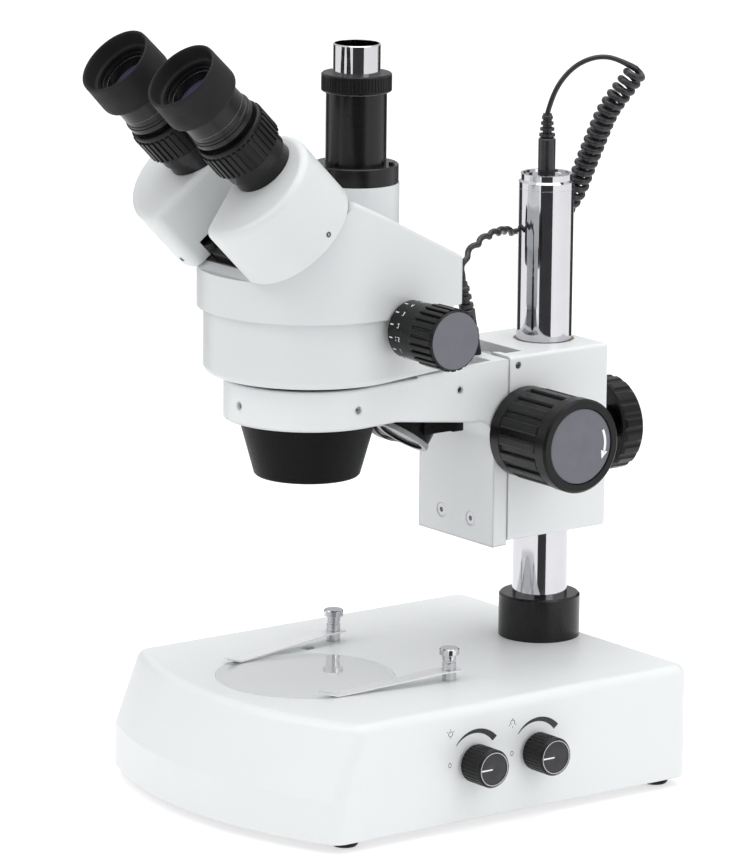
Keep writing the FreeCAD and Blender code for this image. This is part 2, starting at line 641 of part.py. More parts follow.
def head_upper_form(inset):
    corner = (UPPER_CORNER[0] - inset, UPPER_CORNER[1] - inset)
    body = head_plan(UPPER_RADIUS - inset, corner, SEAM_Z, 340, 9.0 - inset)
    slant = inset * math.sqrt(2)
    ridge_z = RIDGE_Z - 1.35 * inset
    ridge_y = ridge_z - (RIDGE_Z - RIDGE_Y) + slant
    rim_z = RIM_Z - inset
    side_view = [(-70, SEAM_Z), (-70, rim_z), (rim_z - (RIM_Z - RIM_Y) + slant, rim_z), (ridge_y, ridge_z),
                 (90, ridge_z - ROOF_FALL * (90 - ridge_y)), (90, SEAM_Z)]
    return body.common(prism([(-70, y, z) for y, z in side_view], Vector(140, 0, 0)))


def is_roof_edge(edge):
    if edge.CenterOfMass.z < RIM_Z + 1 or is_upright(edge):
        return False
    return edge.CenterOfMass.y > 0 and edge.BoundBox.YLength > 20


def head_upper_cover():
    cover = head_upper_form(0.0)
    cover = round_edges(cover, 3.0, is_roof_edge)
    boss = upright(0, PHOTO_Y, 300, 327.9, 23.0)
    cover = fuse(cover, boss)
    cover = cover.cut(head_upper_form(HEAD_WALL))
    cover = cover.cut(upright(0, PHOTO_Y, 280, 340, 15.05))
    window = box(-31, 31, -36, 12, -50, -36)
    return cover.cut(tilted(window))


def head_mount_ring():
    return turned([(33.0, 206.5), (38.0, 206.5), (38.0, 228.05), (41.0, 228.05), (41.0, HEAD_BOTTOM_Z),
                   (33.0, HEAD_BOTTOM_Z)])


def objective_cone():
    """The cone below the ring: threaded mouth and a web that holds the two lenses."""
    cone = turned([(24.0, CONE_BOTTOM_Z), (CONE_BOTTOM_RADIUS - 0.8, CONE_BOTTOM_Z),
                   (CONE_BOTTOM_RADIUS, CONE_BOTTOM_Z + 0.8), (CONE_TOP_RADIUS, CONE_TOP_Z),
                   (33.0, CONE_TOP_Z), (30.0, 194.0), (0, 194.0), (0, 189.0), (24.0, 189.0)])
    for side in (-1, 1):
        cone = cone.cut(upright(side * OBJECTIVE_X, 0, 180, 200, OBJECTIVE_RADIUS))
    return cone


def objective_lens(side):
    """One of the pair of lenses in the cone's web, bulging downwards."""
    x = side * OBJECTIVE_X
    return upright(x, 0, 186, 194, OBJECTIVE_RADIUS).common(Part.makeSphere(24, Vector(x, 0, 213.5)))


def zoom_shaft():
    return crosswise(-90, 90, ZOOM_Y, ZOOM_Z, 3.0)


def zoom_knob(side):
    """A smooth dial band next to the head, then ribs, then a flat end."""
    start = ZOOM_KNOB_START
    end = ZOOM_KNOB_END
    band = ZOOM_BAND_RADIUS
    knob = turned_on_x([(start, 0), (start, band - 0.8), (start + 0.8, band), (start + 20, band),
                        (start + 20.6, band - 0.5), (end - 2.0, band - 0.5), (end - 1.0, band + 0.4),
                        (end, band), (end, 0)], ZOOM_Y, ZOOM_Z, side)
    rib = box(start + 19, end - 0.9, -1.25, 1.25, 13.2, ZOOM_RIB_RADIUS)
    rib = round_edges(rib, 0.5, lambda edge: edge.CenterOfMass.z > ZOOM_RIB_RADIUS - 0.1)
    if side < 0:
        rib = mirrored(rib)
    rib.translate(Vector(0, ZOOM_Y, ZOOM_Z))
    for turn in range(24):
        copy = rib.copy()
        copy.rotate(Vector(0, ZOOM_Y, ZOOM_Z), X_AXIS, 15 * turn)
        knob = knob.fuse(copy)
    return knob.removeSplitter().cut(crosswise(-90, 90, ZOOM_Y, ZOOM_Z, 3.0))


def make_head():
    save("head_lower_cover", head_lower_cover())
    save("head_upper_cover", head_upper_cover())
    save("head_mount_ring", head_mount_ring())
    save("objective_cone", objective_cone())
    save("objective_lenses", objective_lens(1), objective_lens(-1))
    save("zoom_shaft", zoom_shaft())
    save("right_zoom_knob", zoom_knob(1))
    save("left_zoom_knob", zoom_knob(-1))


# Photo port

def photo_port():
    """The black port: spigot in the head, flange with three screw heads, and tube."""
    port = turned([(13.0, 316), (15.0, 316), (15.0, 327.9), (22.5, 327.9), (22.5, 337.1), (21.9, 337.7),
                   (16.0, 337.7), (16.0, 375.6), (14.0, 375.6), (14.0, 383.0), (12.55, 383.0), (12.55, 340),
                   (13.0, 338)], (0, PHOTO_Y))
    for turn in range(3):
        angle = math.radians(120 * turn + 38)
        spot = (19.3 * math.cos(angle), PHOTO_Y + 19.3 * math.sin(angle))
        port = fuse(port, upright(*spot, 337.0, 339.2, 1.6))
    return port


def photo_lock_ring():
    ring_form = turned([(14.05, 375.7), (17.9, 375.7), (18.5, 376.3), (18.5, 384.7), (17.9, 385.3),
                        (12.55, 385.3), (12.55, 383.1), (14.05, 383.1)], (0, PHOTO_Y))
    for turn in range(60):
        angle = math.radians(6 * turn)
        ring_form = ring_form.cut(upright(18.75 * math.cos(angle), PHOTO_Y + 18.75 * math.sin(angle),
                                          376.9, 384.1, 0.6))
    return ring_form


def photo_tube():
    return turned([(PHOTO_TUBE_BORE, 345), (12.5, 345), (12.5, 400.2), (12.0, 400.7),
                   (PHOTO_TUBE_BORE, 400.7)], (0, PHOTO_Y))


def make_photo_port():
    save("photo_port", photo_port())
    save("photo_lock_ring", photo_lock_ring())
    save("photo_tube", photo_tube())


# Eyepiece pods, all drawn for the right side in the eyepiece frame and mirrored for the left

def pod_form(inset, s0, s1):
    """A disc cut flat on its inner side, the flat leaning a little to the front."""
    x, q = POD_CENTRE
    disc = upright(x, q, s0, s1, POD_RADIUS - inset)
    inner = box(-80, x - POD_FLAT_DISTANCE + inset, q - 80, q + 80, s0 - 1, s1 + 1)
    inner.rotate(Vector(x, q, 0), Z_AXIS, POD_FLAT_ANGLE)
    return disc.cut(inner)


def pod_cover():
    cover = pod_form(0.0, POD_BOTTOM, POD_TOP)
    cover = round_edges(cover, 6.0, is_upright)
    cover = round_edges(cover, 4.0, lambda edge: edge.BoundBox.ZMin > POD_TOP - 0.01)
    hollow = round_edges(pod_form(2.5, POD_BOTTOM + 3, POD_TOP - 3), 3.5, is_upright)
    cover = cover.cut(hollow)
    cover = cover.cut(upright(*POD_PIVOT, -45, -30, 12.05))
    cover = cover.cut(upright(EYE_HALF_DISTANCE, 0, POD_TOP - 1, 0, 16.25))
    return cover.cut(upright(EYE_HALF_DISTANCE, 0, -10, 0, 15.05))


def eyepiece_tube():
    """The fixed tube on the pod that the eyepiece drops into."""
    x = EYE_HALF_DISTANCE
    return turned([(13.2, -6), (15.0, -6), (15.0, POD_TOP - 1), (16.2, POD_TOP - 1), (16.2, 5.2), (17.2, 5.8),
                   (17.2, 31.2), (15.05, 31.2), (15.05, 2.0), (13.2, 2.0)], (x, 0))


def diopter_ring():
    """A ring of straight ribs that screws on the eyepiece tube."""
    x = EYE_HALF_DISTANCE
    body = turned([(17.25, 12.6), (18.2, 12.6), (19.0, 13.6), (19.0, 30.2), (18.4, 31.0), (17.25, 31.0)],
                  (x, 0))
    rib = box(-0.95, 0.95, 18.4, 19.8, 13.8, 28.2)
    rib.translate(Vector(x, 0, 0))
    for turn in range(36):
        copy = rib.copy()
        copy.rotate(Vector(x, 0, 0), Z_AXIS, 10 * turn)
        body = body.fuse(copy)
    return body.removeSplitter()


def eyepiece_barrel():
    """The eyepiece: plug in the tube, stepped shoulder, grip and a stepped throat round the lens."""
    x = EYE_HALF_DISTANCE
    return turned([(13.0, 6), (15.0, 6), (15.0, 34.4), (17.8, 34.4), (17.8, 37.0), (17.3, 37.2), (17.3, 38.6),
                   (16.8, 39.0), (16.8, 51.9), (16.0, 51.9), (16.0, 64.0), (14.6, 64.0), (14.2, 62.6),
                   (13.2, 62.6), (13.2, 60.6), (12.2, 60.6), (12.2, 52.0), (13.0, 50.0)], (x, 0))


def eye_lens():
    x = EYE_HALF_DISTANCE
    return upright(x, 0, 53, 59.4, 12.15).common(Part.makeSphere(24, Vector(x, 0, 35.4)))


def eyecup():
    """A soft rubber cup: a sleeve on the barrel, thickened at its foot, and a flaring lip."""
    x = EYE_HALF_DISTANCE
    return turned([(16.05, 52.0), (19.6, 52.0), (20.6, 53.0), (20.7, 56.0), (20.4, 71.0), (19.9, 72.2),
                   (19.0, 72.4), (18.5, 71.6), (17.2, 65.0), (16.05, 63.9)], (x, 0))


def pod_chassis():
    """The black plate on the head's slope, with a bearing spigot for each pod and a central block."""
    face = HEAD_SLOPE_S
    plate = box(-30.8, 30.8, -35.8, 11.8, -44, face)
    lip = box(-33, 33, -39, 14, face, -40.4)
    centre = prism([(-4, -8, face), (4, -8, face), (13, -37, face), (-13, -37, face)], Vector(0, 0, 6.7))
    chassis = fuse(plate, lip, centre)
    for side in (-1, 1):
        chassis = fuse(chassis, upright(side * POD_PIVOT[0], POD_PIVOT[1], face, -33, 12.0))
        chassis = chassis.cut(upright(side * POD_PIVOT[0], POD_PIVOT[1], -50, -30, 9.0))
    return chassis


def make_pods():
    pieces = {"pod_cover": pod_cover(), "eyepiece_tube": eyepiece_tube(),
              "diopter_ring": diopter_ring(), "eyepiece_barrel": eyepiece_barrel(),
              "eye_lens": eye_lens(), "eyecup": eyecup()}
    for name, piece in pieces.items():
        save("right_" + name, tilted(piece))
        save("left_" + name, mirrored(tilted(piece)))
    save("pod_chassis", tilted(pod_chassis()))


# Lamp cord

def rounded_route(points, label):
    """Straight runs joined by tangent arcs, each as large as its two runs allow."""
    corners = [Vector(*point) for point in points]
    edges = []
    radii = []
    at = corners[0]
    for before, corner, after in zip(corners, corners[1:], corners[2:]):
        back = (before - corner).normalize()
        ahead = (after - corner).normalize()
        half_turn = (math.pi - back.getAngle(ahead)) / 2
        reach = ARC_SHARE * min((before - corner).Length, (after - corner).Length)
        radii.append(reach / math.tan(half_turn))
        start = corner + back * reach
        end = corner + ahead * reach
        middle = (back + ahead).normalize()
        depth = radii[-1] / math.cos(half_turn) - radii[-1]
        edges.append(Part.LineSegment(at, start).toShape())
        edges.append(Part.Arc(start, corner + middle * depth, end).toShape())
        at = end
    edges.append(Part.LineSegment(at, corners[-1]).toShape())
    print(label, "radii", [round(radius, 1) for radius in radii])
    return Part.Wire(edges)


def cord_solid(points, diameter, label):
    path = rounded_route(points, label)
    start = Vector(*points[0])
    along = (Vector(*points[1]) - start).normalize()
    circle = Part.Wire(Part.Circle(start, along, diameter / 2).toShape())
    tube = path.makePipeShell([circle], True, False)
    expected = math.pi * diameter ** 2 / 4 * path.Length
    print(label, "length", round(path.Length, 1), "volume ratio", round(tube.Volume / expected, 4))
    return tube


def cord_top_plug():
    """The plug in the pillar's jack, with a ribbed relief that narrows to the cord."""
    profile = [(0, 308), (2.5, 308), (2.5, 319.2), (4.65, 319.2), (4.65, 338.2), (3.4, 339.4)]
    for step in range(4):
        z = 339.4 + 3.1 * step
        radius = 4.3 - 0.45 * step
        profile += [(radius, z + 0.4), (radius, z + 1.9), (2.4, z + 2.3), (2.4, z + 3.1)]
    profile += [(2.4, 352.0), (0, 352.0)]
    return turned(profile, (0, PILLAR_Y))


def cord_lower_plug():
    """The plug in the arm's jack, leaning with it, with the same relief."""
    profile = [(0, -4.8), (2.5, -4.8), (2.5, 0.0), (4.4, 0.0), (4.4, 17), (3.2, 18)]
    for step in range(3):
        z = 18 + 4.6 * step
        radius = 4.0 - 0.45 * step
        profile += [(radius, z + 0.6), (radius, z + 2.6), (2.3, z + 3.2), (2.3, z + 4.6)]
    profile += [(2.3, 32.6), (0, 32.6)]
    return socket_frame(turned(profile))


def make_cord():
    lead = cord_solid(LEAD_ROUTE, LEAD_DIAMETER, "lead")
    save("cord_top_plug", cord_top_plug().cut(lead))
    save("cord_lower_plug", cord_lower_plug())
    save("cord_lead", lead)
    save("cord_coil", cord_solid(COIL_ROUTE, COIL_DIAMETER, "coil"))
    save("cord_tail", cord_solid(TAIL_ROUTE, TAIL_DIAMETER, "tail"))


os.makedirs("parts", exist_ok=True)
make_base()
make_pillar()
make_focus_block()
make_arm()
make_head()
make_photo_port()
make_pods()
make_cord()
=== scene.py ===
import json
import math

import bpy
from mathutils import Matrix, Vector

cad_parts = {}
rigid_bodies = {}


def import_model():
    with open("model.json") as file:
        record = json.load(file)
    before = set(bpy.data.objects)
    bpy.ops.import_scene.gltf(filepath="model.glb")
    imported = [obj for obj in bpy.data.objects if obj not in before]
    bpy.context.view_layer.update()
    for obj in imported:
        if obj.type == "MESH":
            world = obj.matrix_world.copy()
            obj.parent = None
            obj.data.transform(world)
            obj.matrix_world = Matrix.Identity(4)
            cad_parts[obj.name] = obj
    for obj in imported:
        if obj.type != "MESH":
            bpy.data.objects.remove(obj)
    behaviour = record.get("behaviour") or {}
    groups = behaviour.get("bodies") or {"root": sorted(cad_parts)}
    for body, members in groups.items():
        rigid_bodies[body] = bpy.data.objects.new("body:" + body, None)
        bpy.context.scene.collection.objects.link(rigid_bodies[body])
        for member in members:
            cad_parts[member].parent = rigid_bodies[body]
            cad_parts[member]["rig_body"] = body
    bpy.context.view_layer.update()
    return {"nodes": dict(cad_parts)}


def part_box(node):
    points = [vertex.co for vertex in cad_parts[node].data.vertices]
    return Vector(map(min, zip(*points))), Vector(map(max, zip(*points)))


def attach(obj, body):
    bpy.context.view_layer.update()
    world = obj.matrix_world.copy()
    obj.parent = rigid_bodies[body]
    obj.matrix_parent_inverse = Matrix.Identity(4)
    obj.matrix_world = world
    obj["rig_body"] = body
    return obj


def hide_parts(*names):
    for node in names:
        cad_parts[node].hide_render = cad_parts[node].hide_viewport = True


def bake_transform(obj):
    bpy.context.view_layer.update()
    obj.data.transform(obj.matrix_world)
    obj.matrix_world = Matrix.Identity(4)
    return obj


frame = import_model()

MM = 0.001
X = Vector((1, 0, 0))
Y = Vector((0, 1, 0))
Z = Vector((0, 0, 1))
SMOOTH_ANGLE = math.radians(28)


# Materials

class Shader:
    """A principled material built from a few shared layers, in object space."""

    def __init__(self, name):
        self.material = bpy.data.materials.new(name)
        self.material.use_nodes = True
        self.tree = self.material.node_tree
        self.tree.nodes.clear()
        self.out = self.add("ShaderNodeOutputMaterial")
        self.body = self.add("ShaderNodeBsdfPrincipled")
        self.link(self.body.outputs[0], self.out.inputs[0])
        self.coords = self.add("ShaderNodeTexCoord").outputs["Object"]

    def add(self, kind, **settings):
        node = self.tree.nodes.new(kind)
        for key, value in settings.items():
            setattr(node, key, value)
        return node

    def link(self, a, b):
        self.tree.links.new(a, b)

    def set(self, **values):
        for key, value in values.items():
            self.body.inputs[key.replace("_", " ")].default_value = value
        return self

    def stretched(self, stretch):
        mapping = self.add("ShaderNodeMapping")
        mapping.inputs["Scale"].default_value = stretch
        self.link(self.coords, mapping.inputs["Vector"])
        return mapping.outputs[0]

    def noise(self, scale, detail=3.0, stretch=None, roughness=0.55):
        node = self.add("ShaderNodeTexNoise")
        node.inputs["Scale"].default_value = scale
        node.inputs["Detail"].default_value = detail
        node.inputs["Roughness"].default_value = roughness
        self.link(self.stretched(stretch) if stretch else self.coords, node.inputs["Vector"])
        return node.outputs["Fac"]

    def ranged(self, value, low, high, start=0.3, end=0.7):
        node = self.add("ShaderNodeMapRange")
        node.inputs["From Min"].default_value = start
        node.inputs["From Max"].default_value = end
        node.inputs["To Min"].default_value = low
        node.inputs["To Max"].default_value = high
        self.link(value, node.inputs["Value"])
        return node.outputs[0]

    def mix(self, factor, low, high):
        node = self.add("ShaderNodeMix", data_type="RGBA")
        node.inputs["A"].default_value = (*low, 1)
        node.inputs["B"].default_value = (*high, 1)
        self.link(factor, node.inputs["Factor"])
        return node.outputs["Result"]

    def colour(self, low, high, scale=60.0, stretch=None):
        self.link(self.mix(self.noise(scale, 4.0, stretch), low, high), self.body.inputs["Base Color"])
        return self

    def roughness(self, low, high, scale=140.0, stretch=None):
        self.link(self.ranged(self.noise(scale, 4.0, stretch), low, high), self.body.inputs["Roughness"])
        return self

    def relief(self, scale, depth, stretch=None, edge=0.0, strength=1.0, detail=2.0):
        bump = self.add("ShaderNodeBump")
        bump.inputs["Distance"].default_value = depth
        bump.inputs["Strength"].default_value = strength
        self.link(self.noise(scale, detail, stretch), bump.inputs["Height"])
        if edge:
            bevel = self.add("ShaderNodeBevel", samples=4)
            bevel.inputs["Radius"].default_value = edge
            self.link(bevel.outputs[0], bump.inputs["Normal"])
        self.link(bump.outputs[0], self.body.inputs["Normal"])
        return self


def white_paint(name, shade, edge=0.0006):
    shader = Shader(name)
    shader.colour((shade, shade + 0.02, shade + 0.026), (shade + 0.03, shade + 0.045, shade + 0.05), 35)
    shader.roughness(0.34, 0.46, 90).set(Coat_Weight=0.12, Coat_Roughness=0.25)
    return shader.relief(1900, 0.000018, edge=edge).material


def black_satin(name, shade=0.005, rough=(0.24, 0.28)):
    shader = Shader(name)
    shader.colour((shade * 1.1, shade, shade), (shade * 1.4, shade * 1.25, shade * 1.3), 220)
    shader.roughness(*rough, 300).set(Specular_IOR_Level=0.34)
    return shader.relief(3200, 0.000001).material


def sparkle_black(name):
    """Powder coat: fine grains catch the light."""
    shader = Shader(name)
    grains = shader.add("ShaderNodeTexVoronoi")
    grains.inputs["Scale"].default_value = 2600
    shader.link(shader.coords, grains.inputs["Vector"])
    spark = shader.ranged(grains.outputs["Distance"], 1.0, 0.0, 0.05, 0.22)
    shader.link(shader.mix(spark, (0.004, 0.004, 0.0045), (0.05, 0.05, 0.055)),
                shader.body.inputs["Base Color"])
    shader.roughness(0.34, 0.5, 900).set(Specular_IOR_Level=0.1)
    return shader.relief(2400, 0.00005, edge=0.0003, strength=0.8).material


def moulded_black(name, shade=0.007, rough=(0.38, 0.5), blue=1.04):
    shader = Shader(name)
    shader.colour((shade, shade, shade * blue), (shade * 1.25, shade * 1.25, shade * blue * 1.25), 120)
    shader.roughness(*rough, 260).set(Specular_IOR_Level=0.24)
    return shader.relief(2600, 0.000012, edge=0.0003, strength=0.5).material


def soft_rubber(name):
    shader = Shader(name)
    shader.colour((0.010, 0.009, 0.010), (0.017, 0.0155, 0.017), 90)
    shader.roughness(0.5, 0.66, 160).set(Specular_IOR_Level=0.2)
    return shader.relief(1500, 0.00003, strength=0.6).material


def gloss_cord(name):
    shader = Shader(name)
    shader.colour((0.013, 0.012, 0.014), (0.024, 0.022, 0.026), 300)
    shader.roughness(0.22, 0.36, 400)
    return shader.relief(1200, 0.00003, strength=0.5).material


def polished(name, low=(0.56, 0.56, 0.58), high=(0.64, 0.64, 0.66), rough=(0.03, 0.08), stretch=(1, 1, 1)):
    shader = Shader(name)
    shader.colour(low, high, 80, stretch).set(Metallic=1.0)
    shader.roughness(*rough, 200, stretch)
    return shader.relief(500, 0.000004, stretch, edge=0.00025).material


def machined(name, low=(0.42, 0.42, 0.44), high=(0.62, 0.62, 0.64)):
    return polished(name, low, high, (0.22, 0.38), (1, 1, 12))


def bright_strip(name):
    """Ground spring steel, so bright that it reads as white under a soft light."""
    shader = Shader(name).set(Metallic=0.85)
    shader.colour((0.86, 0.86, 0.86), (0.93, 0.93, 0.93), 60, (1, 8, 1))
    return shader.roughness(0.34, 0.46, 240, (1, 8, 1)).relief(300, 0.000002, (1, 8, 1)).material


def brass(name):
    return polished(name, (0.62, 0.44, 0.20), (0.74, 0.55, 0.28), (0.22, 0.34), (1, 1, 6))


def stage_glass(name):
    """Glass over its white frosted back, so mostly milky with a sharp surface."""
    shader = Shader(name).set(Transmission_Weight=0.22, IOR=1.5, Coat_Weight=1.0, Coat_Roughness=0.015)
    shader.colour((0.80, 0.815, 0.825), (0.83, 0.845, 0.855), 25)
    return shader.roughness(0.05, 0.1, 120).relief(60, 0.000006).material


def coated_lens(name):
    """Dark glass. The blue and violet bloom of its coating is painted into the colour as a painted sheen,
    bluer towards grazing view.
    """
    shader = Shader(name)
    # Painted sheen: the colour goes from dark to blue-violet by the angle of view.
    painted_sheen_weight = shader.add("ShaderNodeLayerWeight")
    painted_sheen_weight.inputs["Blend"].default_value = 0.45
    shader.link(shader.mix(painted_sheen_weight.outputs["Facing"], (0.012, 0.015, 0.03), (0.10, 0.10, 0.19)),
                shader.body.inputs["Base Color"])
    shader.set(Coat_Weight=1.0, Coat_Roughness=0.02, IOR=1.6).roughness(0.03, 0.07, 90)
    return shader.relief(45, 0.000004).material


def frosted(name):
    shader = Shader(name)
    shader.colour((0.80, 0.84, 0.83), (0.88, 0.91, 0.90), 50)
    shader.set(Subsurface_Weight=0.2, Subsurface_Scale=0.002)
    return shader.roughness(0.45, 0.6, 400).relief(2500, 0.00002).material


def spun_black(name, middle):
    """A dark disc turned on a lathe: fine rings round its centre."""
    shader = Shader(name)
    shift = shader.add("ShaderNodeMapping")
    shift.inputs["Location"].default_value = [-c for c in middle]
    shader.link(shader.coords, shift.inputs["Vector"])
    rings = shader.add("ShaderNodeTexWave", wave_type="RINGS", rings_direction="SPHERICAL")
    rings.inputs["Scale"].default_value = 900
    rings.inputs["Distortion"].default_value = 0.4
    shader.link(shift.outputs[0], rings.inputs["Vector"])
    shader.link(shader.mix(rings.outputs["Fac"], (0.02, 0.02, 0.022), (0.07, 0.07, 0.075)),
                shader.body.inputs["Base Color"])
    bump = shader.add("ShaderNodeBump")
    bump.inputs["Distance"].default_value = 0.00003
    shader.link(rings.outputs["Fac"], bump.inputs["Height"])
    shader.link(bump.outputs[0], shader.body.inputs["Normal"])
    return shader.set(Metallic=0.6).roughness(0.28, 0.4, 300).material


def printed(name, colour):
    shader = Shader(name)
    shader.colour(colour, [min(1, c * 1.15 + 0.004) for c in colour], 500)
    return shader.roughness(0.45, 0.6, 500).relief(3000, 0.00001).material


# One white enamel in four shades. The base, block and arm are painted lighter and the head covers darker:
# painted light and shade that make up for how much light reaches each part.
WHITE = white_paint("head_enamel_painted_shade", 0.64)
BASE_WHITE_PAINTED_LIGHT = white_paint("base_enamel_painted_light", 0.75)
ARM_WHITE_PAINTED_LIGHT = white_paint("arm_enamel_painted_light", 0.72, edge=0.0026)
BLOCK_WHITE_PAINTED_LIGHT = white_paint("block_enamel_painted_light", 0.73)
SATIN = black_satin("black_anodised")
SPARKLE = sparkle_black("black_powder_coat")
MOULDED = moulded_black("black_moulded", 0.005, (0.26, 0.38))
RIBBED = moulded_black("black_ribbed", 0.006, (0.26, 0.36))
GREY_CAP = moulded_black("grey_cap", 0.13, (0.42, 0.55), 1.17)
RUBBER = soft_rubber("eyecup_rubber")
FOOT_RUBBER = soft_rubber("foot_rubber")
CORD = gloss_cord("cord_jacket")
CHROME = polished("chrome")
CLIP_STEEL = bright_strip("sprung_steel")
STEEL = machined("machined_steel")
DARK_STEEL = machined("dark_steel", (0.10, 0.10, 0.11), (0.2, 0.2, 0.21))
BRASS = brass("brass")
GLASS = stage_glass("stage_glass")
LENS = coated_lens("coated_lens")
FROST = frosted("frosted_glass")
LAMP_GLASS = moulded_black("lamp_glass", 0.09, (0.1, 0.2))
LAMP_RIM = moulded_black("lamp_rim", 0.26, (0.3, 0.4), 1.02)
INK = printed("black_print", (0.02, 0.02, 0.022))
WHITE_INK = printed("white_print", (0.78, 0.78, 0.77))
GREEN_EDGE = printed("glass_edge", (0.50, 0.66, 0.62))

NODE_FINISH = {
    BASE_WHITE_PAINTED_LIGHT: ["base_housing"],
    ARM_WHITE_PAINTED_LIGHT: ["arm"],
    BLOCK_WHITE_PAINTED_LIGHT: ["focus_block"],
    WHITE: ["head_lower_cover", "head_upper_cover", "right_pod_cover", "left_pod_cover"],
    SATIN: ["pillar_collar", "photo_port", "head_mount_ring", "pod_chassis", "lamp_bracket",
            "right_eyepiece_tube", "left_eyepiece_tube", "right_eyepiece_barrel", "left_eyepiece_barrel"],
    SPARKLE: ["objective_cone"],
    MOULDED: ["mains_inlet", "lamp_socket", "clamp_knob", "lamp_housing"],
    RIBBED: ["right_focus_knob", "left_focus_knob", "right_zoom_knob", "left_zoom_knob", "front_dimmer_knob",
             "rear_dimmer_knob", "right_diopter_ring", "left_diopter_ring", "photo_lock_ring"],
    FOOT_RUBBER: ["rubber_feet"],
    CORD: ["cord_top_plug", "cord_lower_plug"],
    CHROME: ["pillar", "photo_tube", "clip_posts", "lower_lamp", "pillar_cap"],
    CLIP_STEEL: ["right_stage_clip", "left_stage_clip"],
    STEEL: ["base_bottom_plate", "base_screws", "dimmer_pots", "pinion_shaft", "dovetail_slide",
            "zoom_shaft", "arm_screws"],
    BRASS: ["pillar_bush", "focus_rack"],
    GLASS: ["stage_plate"],
    LENS: ["right_eye_lens", "left_eye_lens", "objective_lenses"],
    LAMP_GLASS: ["lamp_lens"],
    FROST: ["lower_diffuser"]}


def finish_nodes():
    for material, names in NODE_FINISH.items():
        for name in names:
            data = frame["nodes"][name].data
            data.materials.clear()
            data.materials.append(material)
            for polygon in data.polygons:
                polygon.material_index = 0


# Mesh helpers

def mesh_piece(name, points, faces, material, body, smooth=True):
    data = bpy.data.meshes.new(name)
    data.from_pydata([tuple(p) for p in points], [], faces)
    data.validate()
    data.materials.append(material)
    piece = bpy.data.objects.new(name, data)
    bpy.context.collection.objects.link(piece)
    if smooth:
        data.shade_smooth()
        data.set_sharp_from_angle(angle=SMOOTH_ANGLE)
    if body:
        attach(piece, body)
    return piece


def frame_on(origin, along, start):
    """A frame with its third axis along one direction and its first as near start as it can be."""
    third = Vector(along).normalized()
    first = (Vector(start) - third * third.dot(Vector(start))).normalized()
    second = third.cross(first)
    rows = [(first[i], second[i], third[i], origin[i]) for i in range(3)]
    return Matrix(rows + [(0, 0, 0, 1)])


def lathe(name, profile, place, material, body, steps=96):
    """Turn a closed profile of (radius, height) round the third axis of place."""
    points = []
    for step in range(steps):
        angle = 2 * math.pi * step / steps
        for radius, height in profile:
            points.append(place @ Vector((radius * math.cos(angle), radius * math.sin(angle), height)))
    count = len(profile)
    faces = []
    for step in range(steps):
        here, there = step * count, ((step + 1) % steps) * count
        for i in range(count):
            j = (i + 1) % count
            faces.append((here + i, there + i, there + j, here + j))
    return mesh_piece(name, points, faces, material, body)


def slab(name, outline, place, thickness, material, body):
    """A thin plate with the outline in place's plane."""
    count = len(outline)
    points = [place @ Vector((x, y, z)) for z in (0, thickness) for x, y in outline]
    faces = [tuple(reversed(range(count))), tuple(range(count, 2 * count))]
    faces += [(i, (i + 1) % count, count + (i + 1) % count, count + i) for i in range(count)]
    return mesh_piece(name, points, faces, material, body, smooth=False)


def arc_outline(radius_in, radius_out, start, end, steps=28):
    """A curved band whose width runs from radius_in[0]..radius_out[0] to radius_in[1]..radius_out[1]."""
    outer, inner = [], []
    for step in range(steps + 1):
        share = step / steps
        angle = math.radians(start + (end - start) * share)
        low = radius_in[0] + (radius_in[1] - radius_in[0]) * share
        high = radius_out[0] + (radius_out[1] - radius_out[0]) * share
        outer.append((high * math.cos(angle), high * math.sin(angle)))
        inner.append((low * math.cos(angle), low * math.sin(angle)))
    return outer + list(reversed(inner))


def joined(pieces, name):
    """Make one piece of several with the same material and body."""
    first = pieces[0]
    points, faces = [], []
    for piece in pieces:
        base = len(points)
        world = piece.matrix_world
        points += [world @ v.co for v in piece.data.vertices]
        faces += [tuple(base + i for i in polygon.vertices) for polygon in piece.data.polygons]
    material = first.data.materials[0]
    body = first.get("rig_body")
    for piece in pieces:
        data = piece.data
        bpy.data.objects.remove(piece)
        bpy.data.meshes.remove(data)
    return mesh_piece(name, points, faces, material, body, smooth=False)


def rounded(profile, radius, steps=4):
    """Round the corners of a closed profile."""
    out = []
    count = len(profile)
    for i, corner in enumerate(profile):
        here = Vector(corner)
        before = Vector(profile[i - 1]) - here
        after = Vector(profile[(i + 1) % count]) - here
        reach = min(radius, 0.45 * before.length, 0.45 * after.length)
        a = here + before.normalized() * reach
        b = here + after.normalized() * reach
        for step in range(steps + 1):
            t = step / steps
            point = a * (1 - t) ** 2 + here * (2 * t * (1 - t)) + b * t ** 2
            out.append((point.x, point.y))
    return out


def centre(node):
    low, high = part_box(node)
    return (low + high) / 2


def scaled(values, factor=MM):
    return [tuple(v * factor for v in value) for value in values]


# Cord

LEAD_ROUTE = scaled([(0, 158, 352), (1.2, 159.6, 360), (4.4, 163.7, 370.5), (9.5, 170.4, 379),
                     (16, 179, 383.2), (22.5, 187.5, 382), (28.6, 195.6, 376.6)])
COIL_ROUTE = scaled([(28.5, 196, 375.6), (22.5, 190.5, 364.5), (14.5, 187, 352.5), (6.5, 186, 336),
                     (-1.5, 184.8, 319.5), (-8, 183.5, 303), (-17, 178.5, 291)])
TAIL_ROUTE = scaled([(-17, 178.5, 291), (-21.95, 175.75, 284.4), (-27, 168, 281.5), (-26.5, 157, 283.5),
                     (-20, 146.5, 287), (-10, 134.5, 289), (-2, 120, 289.5), (4, 106.5, 286.5),
                     (7.5, 97.2, 281.3), (8.5, 94.45, 275), (8.5, 95.6, 268.5)])
LEAD_WIDTH = 2.7 * MM
COIL_STRAND = 3.8 * MM
COIL_OUTER = 12.6 * MM
